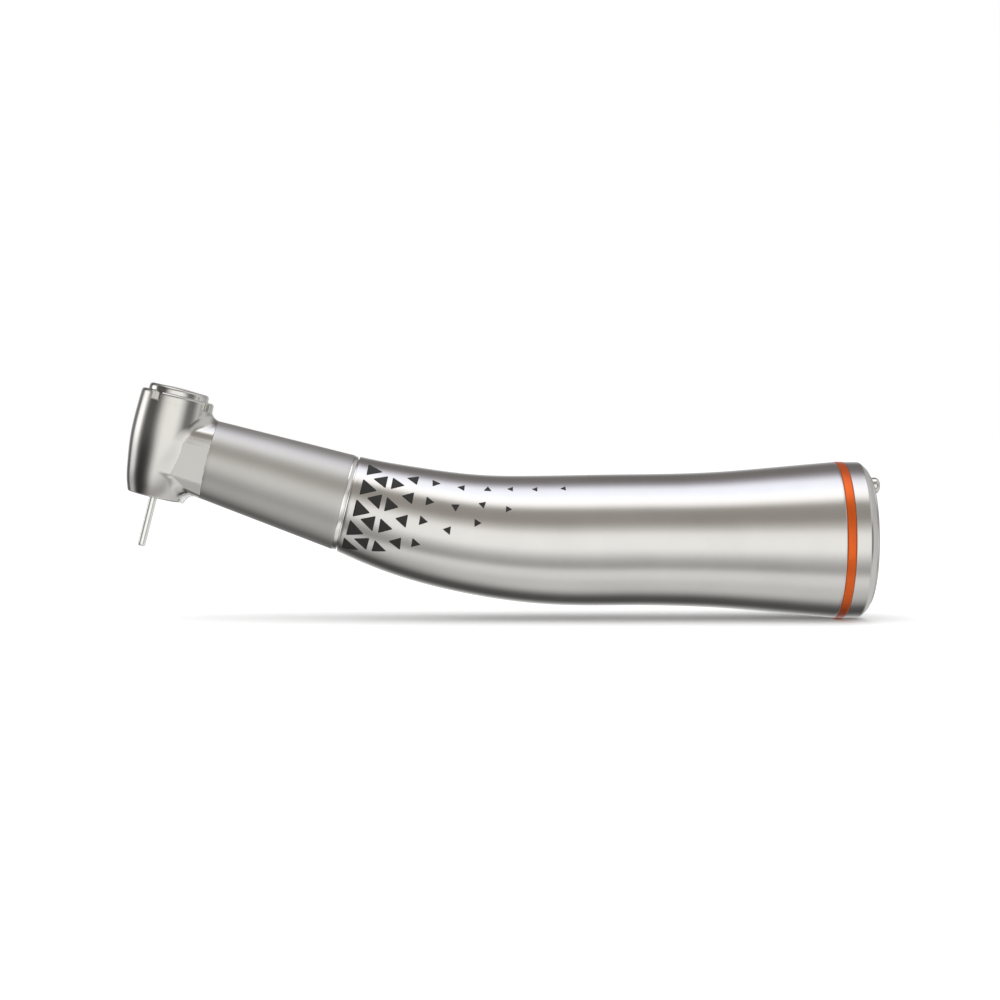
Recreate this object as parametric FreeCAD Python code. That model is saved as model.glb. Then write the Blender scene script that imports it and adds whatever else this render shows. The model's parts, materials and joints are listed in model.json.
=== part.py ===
"""Dental contra-angle handpiece, 1:5, as separate pieces. Millimetres, +Z up.

Row frame: the origin is the centre of the rear coupling bore's mouth, +X runs along that bore
and out of it, and the head points to -X. The neck, the middle shaft and the head are built in
frames that are tilted by FRONT_TILT about Y.
"""

import FreeCAD
import Part
import math
import os

V = FreeCAD.Vector

# ---------------------------------------------------------------- frames
FRONT_TILT = 14.0
FRONT_X = -85.58        # where the head axis meets the middle shaft's axis
FRONT_Z = 11.45
HEAD_CENTRE = 6.4       # height of that point above the head's bottom face
APEX_U = 47.34          # distance from there to the bend, where middle and drive axes meet

COS_T = math.cos(math.radians(FRONT_TILT))
SIN_T = math.sin(math.radians(FRONT_TILT))
AXIS_U = V(COS_T, 0, -SIN_T)
AXIS_W = V(SIN_T, 0, COS_T)
CROSSING = V(FRONT_X, 0, FRONT_Z)
APEX_X = FRONT_X + APEX_U * COS_T

SIDE = V(0, -1, 0)
REAR = FreeCAD.Placement(V(0, 0, 0), FreeCAD.Rotation(V(0, 0, 1), SIDE, V(1, 0, 0), "ZXY"))
MIDDLE = FreeCAD.Placement(CROSSING, FreeCAD.Rotation(AXIS_W, SIDE, AXIS_U, "ZXY"))
HEAD = FreeCAD.Placement(
    CROSSING - AXIS_W * HEAD_CENTRE, FreeCAD.Rotation(AXIS_U, V(0, 1, 0), AXIS_W, "ZXY")
)

# ---------------------------------------------------------------- outer shells
SHELL_WALL = 0.7
STRAIGHT_END = -35.0    # the handle's centreline is straight behind this X
BEND_RADIUS = 97.5
SEAM_U = 23.15          # front edge of the handle shell, along the neck axis
HANDLE_SECTIONS = (
    # x, outer radius, how far the centre hangs below the bend's arc
    (-4.1, 9.55, 0.0),
    (-8.1, 9.2, 0.0),
    (-13.0, 8.75, 0.0),
    (-17.9, 8.35, 0.0),
    (-22.7, 8.12, 0.0),
    (-27.6, 8.02, 0.0),
    (-32.5, 8.0, 0.04),
    (-37.4, 7.92, 0.08),
    (-42.3, 7.7, 0.16),
    (-47.1, 7.37, 0.23),
    (-52.0, 7.05, 0.22),
    (-56.9, 6.68, 0.13),
    (-60.2, 6.32, 0.04),
)
HANDLE_REAR = -4.1
SPIGOT_FRONT = -9.0     # the coupling sleeve carries the handle from here back
SPIGOT_R = 8.4

NECK_TOP = 4.38         # height of the neck's straight top line above the middle axis
NECK_R0 = 4.83
NECK_GROWTH = 0.0625    # radius gained per mm along the neck
NECK_START = 5.6        # front end of the neck sleeve
SLEEVE_END = 22.45
SLEEVE_WALL = 0.5

# ---------------------------------------------------------------- head
DRUM_PROFILE = (
    (0.9, 3.5),
    (3.6, 4.08),
    (6.5, 4.45),
    (9.3, 4.53),
    (11.45, 4.47),
)
DRUM_BOTTOM_R = 3.22
DRUM_TOP = 11.45
FLANGE_TOP = 12.6
FLANGE_R = 4.42
STUB_FLAT = 4.0         # half width between the flats on the head's neck stub
STUB_BORE = 3.65
SEAL_WIRE = 0.15
CROWN_POCKET = 3.62
PINION_POCKET = 2.6
STUB_FRONT = 4.15       # front face of the middle housing

CAP_THREAD_R = 3.75
CAP_SEAT = 10.95        # height of the thread's lower end
CAP_R = 3.65
CAP_TOP = 13.43
CAP_OPENING = 2.75
CAP_NOTCHES = 4
NOTCH_WIDTH = 1.3
BUTTON_R = 2.68
BUTTON_FLANGE_R = 3.1
BUTTON_TOP = 13.55

SPRAY_OUT = 2.75
SPRAY_IN = 1.75
SPRAY_HEIGHT = 0.6
SPRAY_HOLE = 0.2

# ---------------------------------------------------------------- bearings
#            bore    outside  width  balls
UPPER = (1.5875, 3.175, 1.7, 7)
LOWER = (1.4, 2.85, 1.7, 7)
MID = (1.0, 2.5, 2.0, 7)
DRIVE = (1.5, 3.5, 2.0, 7)
UPPER_AT = 10.05
LOWER_AT = 0.95
MID_FRONT_AT = 4.3
MID_REAR_AT = 33.9
DRIVE_FRONT_AT = -45.5
DRIVE_REAR_AT = -37.0
BALL_SHARE = 0.26       # ball radius as a share of the space between bore and outside
GROOVE_PLAY = 0.02

# ---------------------------------------------------------------- gears
PRESSURE_ANGLE = 20.0
PINION_TEETH = 12
BELL_TEETH = 36
CROWN_TEETH = 20
REAR_CONE = 10.98       # cone distance of the internal pair at the bend
REAR_FACE = 1.8
REAR_PINION_CONE = 6.80
BELL_CONE = 20.80
HEAD_CONE = 3.887       # cone distance of the pair in the head
HEAD_FACE = 0.8
CROWN_CONE = 59.036
HEAD_PINION_CONE = 30.964
REAR_ADD = 0.17
REAR_DED = 0.25
HEAD_ADD = 0.27
HEAD_DED = 0.34
BACKLASH = 0.03

BELL_OUT = 4.6
KNEE_ROOM = 4.75

# ---------------------------------------------------------------- shafts and chuck
SPINDLE_BORE = 1.1
SPINDLE_NECK = 1.28
COLLET_R = 1.08
COLLET_BORE = 0.82
SHANK_R = 0.8
BUR_NECK_R = 0.47
BUR_OUT = 6.2
MID_SHAFT_R = 1.0
DRIVE_SHAFT_R = 1.5

# ---------------------------------------------------------------- coupling
BORE_R = 5.5
BORE_DEPTH = 31.0
LATCH_R = 5.9
SLEEVE_OUT = 6.5
FLOOR = 2.0
PIN_Z = 6.65
PIN_R = 1.0
PIN_OUT = 1.6

# ---------------------------------------------------------------- light and spray lines
GUIDE_R = 0.4
TUBE_R = 0.35
LINE_BEND = 2.0
SPRING_WIRE = 0.07


# ================================================================ helpers
def save(shape, node):
    """Write one node's STEP file."""
    shape.exportStep("parts/" + node + ".step")


def placed(shape, frame):
    """A copy of a shape that was built in a local frame, set in the row frame."""
    moved = shape.copy()
    moved.Placement = frame.multiply(shape.Placement)
    return moved


def turned(profile, frame):
    """Revolve a closed (distance along axis, radius) polygon about a frame's axis."""
    points = [V(r, 0, a) for a, r in profile]
    face = Part.Face(Part.makePolygon(points + [points[0]]))
    return placed(face.revolve(V(0, 0, 0), V(0, 0, 1), 360), frame)


def ring(r_in, r_out, a0, a1, frame):
    """A plain ring or, with r_in 0, a disc between two distances along a frame's axis."""
    return turned([(a0, r_in), (a1, r_in), (a1, r_out), (a0, r_out)], frame)


def rod(radius, a0, a1, frame, x=0.0, y=0.0):
    """A cylinder parallel to a frame's axis."""
    return placed(Part.makeCylinder(radius, a1 - a0, V(x, y, a0)), frame)


def torus(r_ring, r_wire, at, frame):
    """A torus about a frame's axis."""
    return placed(Part.makeTorus(r_ring, r_wire, V(0, 0, at)), frame)


def spun(shape, frame, count, start=0.0):
    """Copies of a placed shape, evenly spaced about a frame's axis."""
    axis = frame.Rotation.multVec(V(0, 0, 1))
    out = []
    for k in range(count):
        copy = shape.copy()
        copy.rotate(frame.Base, axis, start + 360.0 * k / count)
        out.append(copy)
    return out


def circle_wire(centre, normal, radius, start=SIDE):
    """A circular wire with a set starting side, so that lofts between such wires don't twist."""
    across = normal.cross(start).normalize()
    turn = FreeCAD.Rotation(start, across, normal, "ZXY")
    wire = Part.Wire(Part.makeCircle(radius))
    wire.Placement = FreeCAD.Placement(centre, turn)
    return wire


def line_rod(points, radius, bend):
    """A round rod along a polyline whose corners are rounded by arcs."""
    edges = []
    start = points[0]
    for before, corner, after in zip(points, points[1:], points[2:]):
        inward = (before - corner).normalize()
        onward = (after - corner).normalize()
        half = inward.getAngle(onward) / 2.0
        reach = bend / math.tan(half)
        first = corner + inward * reach
        last = corner + onward * reach
        middle = (inward + onward).normalize()
        top = corner + middle * (bend / math.sin(half) - bend)
        edges.append(Part.LineSegment(start, first).toShape())
        edges.append(Part.Arc(first, top, last).toShape())
        start = last
    edges.append(Part.LineSegment(start, points[-1]).toShape())
    path = Part.Wire(edges)
    profile = circle_wire(points[0], points[1] - points[0], radius)
    return path.makePipeShell([profile], True, False)


def front_point(u, y, w):
    """A point given by distances from the crossing along the front frame's axes."""
    return CROSSING + AXIS_U * u + V(0, y, 0) + AXIS_W * w


# ================================================================ outer shells
def neck_radius(u):
    """Outer radius of the neck at a distance along its axis."""
    return NECK_R0 + NECK_GROWTH * (u - NECK_START)


def neck_loft(u0, u1, inset0, inset1):
    """The neck's outer surface between two distances, made smaller by an inset at each end."""
    wires = []
    for u, inset in ((u0, inset0), (u1, inset1)):
        radius = neck_radius(u)
        centre = front_point(u, 0, NECK_TOP - radius)
        wires.append(circle_wire(centre, AXIS_U, radius - inset))
    return Part.makeLoft(wires, True, True)


def handle_sections():
    """Centre, axis and outer radius of each of the handle's sections, rear to front."""
    end_radius = neck_radius(SEAM_U)
    end = front_point(SEAM_U, 0, NECK_TOP - end_radius)
    bend_length = STRAIGHT_END - end.x
    out = []
    for x, radius, drop in HANDLE_SECTIONS:
        into = max(0.0, STRAIGHT_END - x)
        rise = BEND_RADIUS - math.sqrt(BEND_RADIUS**2 - into**2) - drop
        tilt = math.radians(FRONT_TILT) * min(1.0, into / bend_length)
        out.append((V(x, 0, rise), V(math.cos(tilt), 0, -math.sin(tilt)), radius))
    out.append((end, AXIS_U, end_radius))
    return out


def handle_loft(inset):
    """The handle's outer surface, made smaller by an inset."""
    wires = [circle_wire(c, n, r - inset) for c, n, r in handle_sections()]
    return Part.makeLoft(wires, True, False)


def make_handle_shell():
    """The long bent grip."""
    shell = handle_loft(0.0)
    hollow = handle_loft(SHELL_WALL)
    seat = ring(0.0, SPIGOT_R, SPIGOT_FRONT - 0.3, HANDLE_REAR + 1.0, REAR)
    return shell.cut(hollow.fuse(seat))


def make_neck_sleeve():
    """The sleeve between head and seam."""
    body = neck_loft(NECK_START, SLEEVE_END, 0.0, 0.0)
    return body.cut(neck_loft(NECK_START, SLEEVE_END, SLEEVE_WALL, SLEEVE_WALL))


def make_seam_ring(lines):
    """The bright ring at the seam, with a spigot for the neck sleeve and one for the handle."""
    front_spigot = neck_loft(SLEEVE_END - 1.5, SLEEVE_END, 0.65, 0.65)
    band = neck_loft(SLEEVE_END, SLEEVE_END + 0.15, 0.0, 0.0)
    chamfer = neck_loft(SLEEVE_END + 0.15, SLEEVE_END + 0.55, 0.0, 0.12)
    groove = neck_loft(SLEEVE_END + 0.55, SEAM_U, 0.3, 0.3)
    rear_spigot = neck_loft(SEAM_U, SEAM_U + 2.5, 0.9, 1.1)
    body = front_spigot.fuse([band, chamfer, groove, rear_spigot])
    bore = ring(0.0, 3.2, SLEEVE_END - 2.0, SEAM_U + 3.0, MIDDLE)
    return body.cut([bore] + lines)


def make_rear_ring():
    """The ring behind the colour ring, with its chamfer."""
    profile = [(-3.0, SPIGOT_R), (-0.3, SPIGOT_R), (-0.3, 8.8), (-1.1, 9.55), (-3.0, 9.55)]
    return turned(profile, REAR)


def make_colour_ring():
    """The orange ring that marks the speed-increasing ratio."""
    profile = [
        (HANDLE_REAR, SPIGOT_R),
        (-3.0, SPIGOT_R),
        (-3.0, 9.5),
        (-3.1, 9.58),
        (-4.0, 9.58),
        (HANDLE_REAR, 9.5),
    ]
    return turned(profile, REAR)


# ================================================================ head
def drum_solid():
    """The barrel of the head, before it is hollowed."""
    bottom = [V(0, 0, 0), V(DRUM_BOTTOM_R - 0.15, 0, 0), V(DRUM_BOTTOM_R, 0, 0.12)]
    side = Part.BSplineCurve()
    side.interpolate([bottom[-1]] + [V(r, 0, h) for h, r in DRUM_PROFILE])
    corner = V(DRUM_PROFILE[-1][1], 0, DRUM_TOP)
    edges = [
        Part.makePolygon(bottom).Edges[0],
        Part.makePolygon(bottom).Edges[1],
        side.toShape(),
        Part.LineSegment(corner, V(0, 0, DRUM_TOP)).toShape(),
        Part.LineSegment(V(0, 0, DRUM_TOP), V(0, 0, 0)).toShape(),
    ]
    face = Part.Face(Part.Wire(edges))
    return placed(face.revolve(V(0, 0, 0), V(0, 0, 1), 360), HEAD)


def stub_solid():
    """The neck stub of the head, with its two side flats."""
    stub = neck_loft(0.6, NECK_START, 0.0, 0.0)
    between = placed(Part.makeBox(12, 2 * STUB_FLAT, 12, V(-6, -STUB_FLAT, 0)), MIDDLE)
    return stub.common(between)


def make_head_housing(lens, lines):
    """Barrel and stub as one casting, bored for bearings, gears, cap and spray ring."""
    body = drum_solid().fuse(stub_solid())
    bores = [
        ring(0.0, SPRAY_OUT, -0.5, SPRAY_HEIGHT, HEAD),
        ring(0.0, SPRAY_IN, 0.0, LOWER_AT, HEAD),
        ring(0.0, LOWER[1], LOWER_AT, LOWER_AT + LOWER[2], HEAD),
        ring(0.0, PINION_POCKET, LOWER_AT, UPPER_AT, HEAD),
        ring(0.0, UPPER[1], UPPER_AT, CAP_SEAT, HEAD),
        ring(0.0, CAP_THREAD_R, CAP_SEAT, DRUM_TOP + 0.5, HEAD),
        ring(0.0, CROWN_POCKET, 1.2, STUB_FRONT, MIDDLE),
        ring(0.0, STUB_BORE, STUB_FRONT, NECK_START + 1.0, MIDDLE),
        torus(STUB_BORE - 0.1, SEAL_WIRE + 0.02, 5.0, MIDDLE),
    ]
    return body.cut(bores + [lens] + lines)


def make_light_lens():
    """The clear outlet in the corner between barrel and stub."""
    outline = [
        (3.28, 0.02),
        (3.56, -0.1),
        (3.99, 0.76),
        (4.9, 1.2),
        (4.9, 2.35),
        (3.95, 2.35),
        (3.45, 1.6),
        (3.28, 0.9),
    ]
    points = [V(x, -1.0, h) for x, h in outline]
    face = Part.Face(Part.makePolygon(points + [points[0]]))
    return placed(face.extrude(V(0, 2.0, 0)), HEAD)


def make_spray_ring():
    """The nozzle ring around the spindle nose."""
    body = ring(SPRAY_IN, SPRAY_OUT, 0.0, SPRAY_HEIGHT, HEAD)
    channel = ring(2.05, 2.5, 0.35, SPRAY_HEIGHT, HEAD)
    hole = rod(SPRAY_HOLE, -0.2, SPRAY_HEIGHT, HEAD, x=2.28)
    return body.cut([channel] + spun(hole, HEAD, 4, 45.0))


def make_head_cap_ring():
    """The screwed cap: a flange flush with the barrel, with spanner notches, and a raised rim."""
    profile = [
        (CAP_SEAT + 0.02, 3.2),
        (12.9, 3.2),
        (12.9, CAP_OPENING),
        (CAP_TOP - 0.05, CAP_OPENING),
        (CAP_TOP, CAP_OPENING + 0.06),
        (CAP_TOP, CAP_R - 0.2),
        (CAP_TOP - 0.06, CAP_R - 0.06),
        (CAP_TOP - 0.2, CAP_R),
        (FLANGE_TOP, CAP_R),
        (FLANGE_TOP, FLANGE_R - 0.15),
        (FLANGE_TOP - 0.15, FLANGE_R),
        (DRUM_TOP, DRUM_PROFILE[-1][1]),
        (DRUM_TOP, CAP_THREAD_R - 0.01),
        (CAP_SEAT + 0.02, CAP_THREAD_R - 0.01),
    ]
    body = turned(profile, HEAD)
    notch = Part.makeBox(1.5, NOTCH_WIDTH, 1.5, V(CAP_R, -NOTCH_WIDTH / 2, DRUM_TOP + 0.1))
    return body.cut(spun(placed(notch, HEAD), HEAD, CAP_NOTCHES, 60.0))


def make_push_button():
    """The domed button with a flange below the cap's lip and a boss for the plunger."""
    profile = [
        (12.15, 0.0),
        (12.15, 0.85),
        (12.75, 0.85),
        (12.75, BUTTON_FLANGE_R),
        (12.88, BUTTON_FLANGE_R),
        (12.88, BUTTON_R),
        (13.3, BUTTON_R),
        (13.38, BUTTON_R - 0.08),
        (13.46, 2.1),
        (13.51, 1.4),
        (13.54, 0.7),
        (BUTTON_TOP, 0.0),
    ]
    return turned(profile, HEAD)


def make_spring_plate():
    """The plate that the button's spring stands on."""
    return ring(1.4, 3.16, 11.93, 12.05, HEAD)


def make_preload_washer():
    """The washer that loads the upper bearing."""
    return ring(2.75, 3.15, UPPER_AT + UPPER[2], 11.92, HEAD)


def make_coil(r_coil, wire, h0, h1, turns):
    """A small coil spring about the head axis."""
    rise = h1 - h0 - 2.0 * wire
    helix = Part.makeHelix(rise / turns, rise, r_coil)
    profile = circle_wire(V(r_coil, 0, 0), V(0, 1, 0), wire, V(1, 0, 0))
    coil = Part.Wire(helix).makePipeShell([profile], True, True)
    coil.translate(V(0, 0, h0 + wire))
    return placed(coil, HEAD)


def make_bur():
    """A plain friction-grip bur blank: shank in the chuck, thin neck outside."""
    profile = [
        (-BUR_OUT, 0.0),
        (-BUR_OUT, BUR_NECK_R - 0.17),
        (-BUR_OUT + 0.08, BUR_NECK_R - 0.06),
        (-BUR_OUT + 0.22, BUR_NECK_R),
        (0.1, BUR_NECK_R),
        (0.6, SHANK_R),
        (8.65, SHANK_R),
        (8.8, SHANK_R - 0.12),
        (8.8, 0.0),
    ]
    return turned(profile, HEAD)


def make_collet_chuck():
    """The spring collet that grips the bur, slit three times from below."""
    profile = [
        (0.9, COLLET_BORE),
        (9.2, COLLET_BORE),
        (9.2, 0.5),
        (9.6, 0.5),
        (9.6, COLLET_R),
        (0.9, COLLET_R),
    ]
    slit = placed(Part.makeBox(2.0, 0.16, 6.0, V(0.0, -0.08, 0.8)), HEAD)
    return turned(profile, HEAD).cut(spun(slit, HEAD, 3))


def make_release_plunger():
    """The plunger that the button pushes to open the collet."""
    profile = [(10.9, 0.0), (10.9, 1.05), (11.7, 1.05), (11.7, 0.8), (12.05, 0.8), (12.05, 0.0)]
    return turned(profile, HEAD)


# ================================================================ gears
def flank(teeth, cone, cone_distance, outward, inward, thinner):
    """Half tooth of a conical gear in the plane of its large end: (radius, half angle)."""
    delta = math.radians(cone)
    alpha = math.radians(PRESSURE_ANGLE)
    pitch = cone_distance * math.tan(delta)
    base = pitch * math.cos(alpha)
    steps = 5
    out = []
    for k in range(steps + 1):
        offset = -inward + (outward + inward) * k / steps
        here = pitch + offset
        turn = math.acos(min(1.0, base / here))
        half = math.pi * math.cos(delta) / (2.0 * teeth) - thinner / (2.0 * pitch)
        half += math.tan(alpha) - alpha - (math.tan(turn) - turn)
        axial = cone_distance * math.cos(delta) - offset * math.sin(delta)
        radial = cone_distance * math.sin(delta) + offset * math.cos(delta)
        plane = cone_distance * math.cos(delta)
        out.append((plane * radial / axial, half / math.cos(delta)))
    return out


def toothed_wire(half_tooth, teeth, scale, distance):
    """The outline of a toothed section, a tooth centred on the local X axis."""
    points = []
    for k in range(teeth):
        centre = 2.0 * math.pi * k / teeth
        rising = [(r, centre - a) for r, a in half_tooth]
        falling = [(r, centre + a) for r, a in reversed(half_tooth)]
        for r, a in rising + falling:
            points.append(V(scale * r * math.cos(a), scale * r * math.sin(a), distance))
    return Part.makePolygon(points + [points[0]])


def cone_point(distance, cone, offset):
    """A point of a gear's section: distance out along its pitch cone, offset square to it."""
    delta = math.radians(cone)
    axial = distance * math.cos(delta) - offset * math.sin(delta)
    return axial, distance * math.sin(delta) + offset * math.cos(delta)


def tooth_band(cone, frame):
    """The band that the head gears' teeth fill, square to their pitch cone at both ends."""
    inner = HEAD_CONE - HEAD_FACE
    return turned(
        [
            cone_point(inner, cone, 0.5),
            cone_point(HEAD_CONE, cone, 0.5),
            cone_point(HEAD_CONE, cone, -0.55),
            cone_point(inner, cone, -0.55),
        ],
        frame,
    )


def toothed_cone(half_tooth, teeth, cone, cone_distance, face, over):
    """A cone of teeth whose flanks all point to the apex at the local origin."""
    plane = cone_distance * math.cos(math.radians(cone))
    big = 1.0 + over / cone_distance
    small = 1.0 - (face + over) / cone_distance
    wires = [
        toothed_wire(half_tooth, teeth, big, plane * big),
        toothed_wire(half_tooth, teeth, small, plane * small),
    ]
    return Part.makeLoft(wires, True, True)


def apex_frame(origin, axis, up):
    """A frame at a cone apex: its axis, and the direction of mesh as local X."""
    return FreeCAD.Placement(origin, FreeCAD.Rotation(up, axis.cross(up), axis, "ZXY"))


APEX_POINT = V(APEX_X, 0, 0)
REAR_PINION_FRAME = apex_frame(APEX_POINT, AXIS_U * -1.0, AXIS_W)
BELL_FRAME = apex_frame(APEX_POINT, V(-1, 0, 0), V(0, 0, 1))
CROWN_FRAME = apex_frame(CROSSING, AXIS_U, AXIS_W)
HEAD_PINION_FRAME = apex_frame(CROSSING, AXIS_W, AXIS_U)


def rear_pinion_solid():
    """The pinion on the rear end of the middle shaft."""
    half = flank(PINION_TEETH, REAR_PINION_CONE, REAR_CONE, REAR_ADD, REAR_DED, BACKLASH)
    teeth = toothed_cone(half, PINION_TEETH, REAR_PINION_CONE, REAR_CONE, REAR_FACE, 0.0)
    return placed(teeth, REAR_PINION_FRAME)


def make_bell_gear():
    """The internal bevel gear on the drive shaft: a bell with teeth inside its mouth."""
    half = flank(BELL_TEETH, BELL_CONE, REAR_CONE, REAR_DED, REAR_ADD, -BACKLASH)
    space = toothed_cone(half, BELL_TEETH, BELL_CONE, REAR_CONE, REAR_FACE, 0.25)
    mouth = APEX_X - REAR_CONE * math.cos(math.radians(BELL_CONE))
    profile = [
        (mouth, 0.0),
        (mouth, BELL_OUT),
        (mouth + 2.1, BELL_OUT - 0.1),
        (mouth + 3.4, 2.2),
        (mouth + 4.2, 2.2),
        (mouth + 4.2, 0.0),
    ]
    hollow = ring(0.0, 3.1, mouth - 0.5, mouth + 2.1, REAR)
    bore = ring(0.0, DRIVE_SHAFT_R, mouth, mouth + 5.0, REAR)
    return turned(profile, REAR).cut([placed(space, BELL_FRAME), hollow, bore])


def make_crown_gear():
    """The crown-side bevel gear on the front end of the middle shaft."""
    half = flank(CROWN_TEETH, CROWN_CONE, HEAD_CONE, HEAD_ADD, HEAD_DED, BACKLASH)
    teeth = toothed_cone(half, CROWN_TEETH, CROWN_CONE, HEAD_CONE, HEAD_FACE, 0.8)
    rim = placed(teeth, CROWN_FRAME).common(tooth_band(CROWN_CONE, MIDDLE))
    rim.rotate(CROSSING, AXIS_U, 180.0 / CROWN_TEETH)
    inner_u, inner_r = cone_point(HEAD_CONE - HEAD_FACE, CROWN_CONE, -HEAD_DED - 0.05)
    outer_u, outer_r = cone_point(HEAD_CONE, CROWN_CONE, -HEAD_DED - 0.05)
    profile = [
        (inner_u, inner_r),
        (outer_u, outer_r),
        (outer_u + 0.7, outer_r),
        (outer_u + 0.95, 2.0),
        (MID_FRONT_AT, 1.8),
        (MID_FRONT_AT, MID_SHAFT_R),
        (outer_u + 0.05, MID_SHAFT_R),
        (outer_u + 0.05, inner_r - 0.3),
        (inner_u + 0.2, inner_r - 0.3),
    ]
    return rim.fuse(turned(profile, MIDDLE))


def make_chuck_spindle():
    """The hollow chuck spindle with its pinion."""
    half = flank(PINION_TEETH, HEAD_PINION_CONE, HEAD_CONE, HEAD_ADD, HEAD_DED, BACKLASH)
    teeth = toothed_cone(half, PINION_TEETH, HEAD_PINION_CONE, HEAD_CONE, HEAD_FACE, 0.3)
    crossing = FreeCAD.Placement(CROSSING, HEAD.Rotation)
    teeth = placed(teeth, HEAD_PINION_FRAME).common(tooth_band(HEAD_PINION_CONE, crossing))
    root_w, root_r = cone_point(HEAD_CONE, HEAD_PINION_CONE, -HEAD_DED)
    inner_w = cone_point(HEAD_CONE - HEAD_FACE, HEAD_PINION_CONE, -HEAD_DED - 0.1)[0]
    top = HEAD_CENTRE + root_w
    profile = [
        (0.35, 0.85),
        (0.35, 1.3),
        (0.45, LOWER[0]),
        (LOWER_AT + LOWER[2], LOWER[0]),
        (LOWER_AT + LOWER[2], SPINDLE_NECK),
        (HEAD_CENTRE + inner_w, SPINDLE_NECK),
        (top, root_r - 0.02),
        (UPPER_AT, root_r - 0.02),
        (UPPER_AT, UPPER[0]),
        (11.7, UPPER[0]),
        (11.8, UPPER[0] - 0.1),
        (11.8, SPINDLE_BORE),
        (0.8, SPINDLE_BORE),
        (0.8, 0.85),
    ]
    bore = ring(0.0, SPINDLE_BORE, 5.0, 12.0, HEAD)
    return turned(profile, HEAD).fuse(teeth).cut(bore)


def make_middle_shaft():
    """The middle shaft with its rear pinion."""
    pinion_front = APEX_U - REAR_CONE * math.cos(math.radians(REAR_PINION_CONE))
    profile = [
        (2.45, 0.0),
        (2.45, MID_SHAFT_R),
        (MID_FRONT_AT + MID[2], MID_SHAFT_R),
        (MID_FRONT_AT + MID[2], 1.25),
        (MID_REAR_AT, 1.25),
        (MID_REAR_AT, MID_SHAFT_R),
        (pinion_front + 0.1, MID_SHAFT_R),
        (pinion_front + 1.5, 0.8),
        (pinion_front + 1.5, 0.0),
    ]
    return turned(profile, MIDDLE).fuse(rear_pinion_solid())


# ================================================================ bearings
def make_bearing(size, at, frame, prefix):
    """Save a bearing's outer race, inner race, and cage with its balls."""
    bore, outside, width, balls = size
    space = outside - bore
    pitch = (bore + outside) / 2.0
    ball_r = BALL_SHARE * space
    centre = at + width / 2.0
    groove = torus(pitch, ball_r + GROOVE_PLAY, centre, frame)
    outer = ring(outside - 0.3 * space, outside, at, at + width, frame).cut(groove)
    inner = ring(bore, bore + 0.3 * space, at, at + width, frame).cut(groove)
    half_cage = 0.35 * width
    cage = ring(pitch - 0.1 * space, pitch + 0.1 * space, centre - half_cage, centre + half_cage, frame)
    ball = placed(Part.makeSphere(ball_r, V(pitch, 0, centre)), frame)
    inside = V(pitch - 0.4 * space, 0, centre)
    pocket = Part.makeCylinder(ball_r + GROOVE_PLAY, 0.8 * space, inside, V(1, 0, 0))
    pocket = placed(pocket, frame)
    cage = cage.cut(spun(pocket, frame, balls, 11.0))
    save(outer, prefix + "_outer_race")
    save(inner, prefix + "_inner_race")
    save(Part.makeCompound(cage.Solids + spun(ball, frame, balls, 11.0)), prefix + "_ball_cage")


# ================================================================ housings and drive
def make_middle_housing():
    """The tube that carries both middle bearings."""
    profile = [
        (STUB_FRONT, MID[1]),
        (MID_FRONT_AT + MID[2], MID[1]),
        (MID_FRONT_AT + MID[2], 2.1),
        (MID_REAR_AT, 2.1),
        (MID_REAR_AT, MID[1]),
        (MID_REAR_AT + MID[2], MID[1]),
        (MID_REAR_AT + MID[2], 3.2),
        (7.5, 3.2),
        (7.5, STUB_BORE),
        (STUB_FRONT, STUB_BORE),
    ]
    seal_groove = torus(STUB_BORE - 0.1, SEAL_WIRE + 0.02, 5.0, MIDDLE)
    return turned(profile, MIDDLE).cut(seal_groove)


def make_knee_housing():
    """The bend's housing: a short drum around the bell gear and a boss for the middle housing."""
    drum = ring(0.0, KNEE_ROOM + 0.3, -50.5, -45.7, REAR)
    boss = ring(0.0, 4.0, 31.5, 36.3, MIDDLE)
    room = ring(0.0, KNEE_ROOM, -50.35, -46.2, REAR)
    shaft_side = ring(0.0, 4.3, -46.5, -45.0, REAR)
    tube = ring(0.0, 3.2, 31.0, 35.9, MIDDLE)
    clear = ring(0.0, 2.9, 35.8, 37.5, MIDDLE)
    return drum.fuse(boss).cut([room, shaft_side, tube, clear])


def make_drive_housing():
    """The tube that carries both drive bearings, with a flange against the sleeve's floor."""
    profile = [
        (-46.2, DRIVE[1]),
        (DRIVE_FRONT_AT + DRIVE[2], DRIVE[1]),
        (DRIVE_FRONT_AT + DRIVE[2], 3.0),
        (DRIVE_REAR_AT, 3.0),
        (DRIVE_REAR_AT, DRIVE[1]),
        (-33.0, DRIVE[1]),
        (-33.0, 6.3),
        (-34.2, 6.3),
        (-34.2, 4.3),
        (-46.2, 4.3),
    ]
    return turned(profile, REAR)


def make_drive_shaft():
    """The drive shaft, with a shoulder between its bearings."""
    mouth = APEX_X - REAR_CONE * math.cos(math.radians(BELL_CONE))
    profile = [
        (mouth + 2.2, 0.0),
        (mouth + 2.2, DRIVE_SHAFT_R),
        (DRIVE_FRONT_AT + DRIVE[2], DRIVE_SHAFT_R),
        (DRIVE_FRONT_AT + DRIVE[2], 2.0),
        (DRIVE_REAR_AT, 2.0),
        (DRIVE_REAR_AT, DRIVE_SHAFT_R),
        (-32.2, DRIVE_SHAFT_R),
        (-32.2, 0.0),
    ]
    return turned(profile, REAR)


def make_clutch_driver():
    """The claw that the motor's driver turns; its two claws face the open bore."""
    body = ring(DRIVE_SHAFT_R, 2.3, -34.4, -31.2, REAR)
    slot = placed(Part.makeBox(5.2, 1.3, 1.1, V(-2.6, -0.65, -32.2)), REAR)
    return body.cut(slot)


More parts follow.
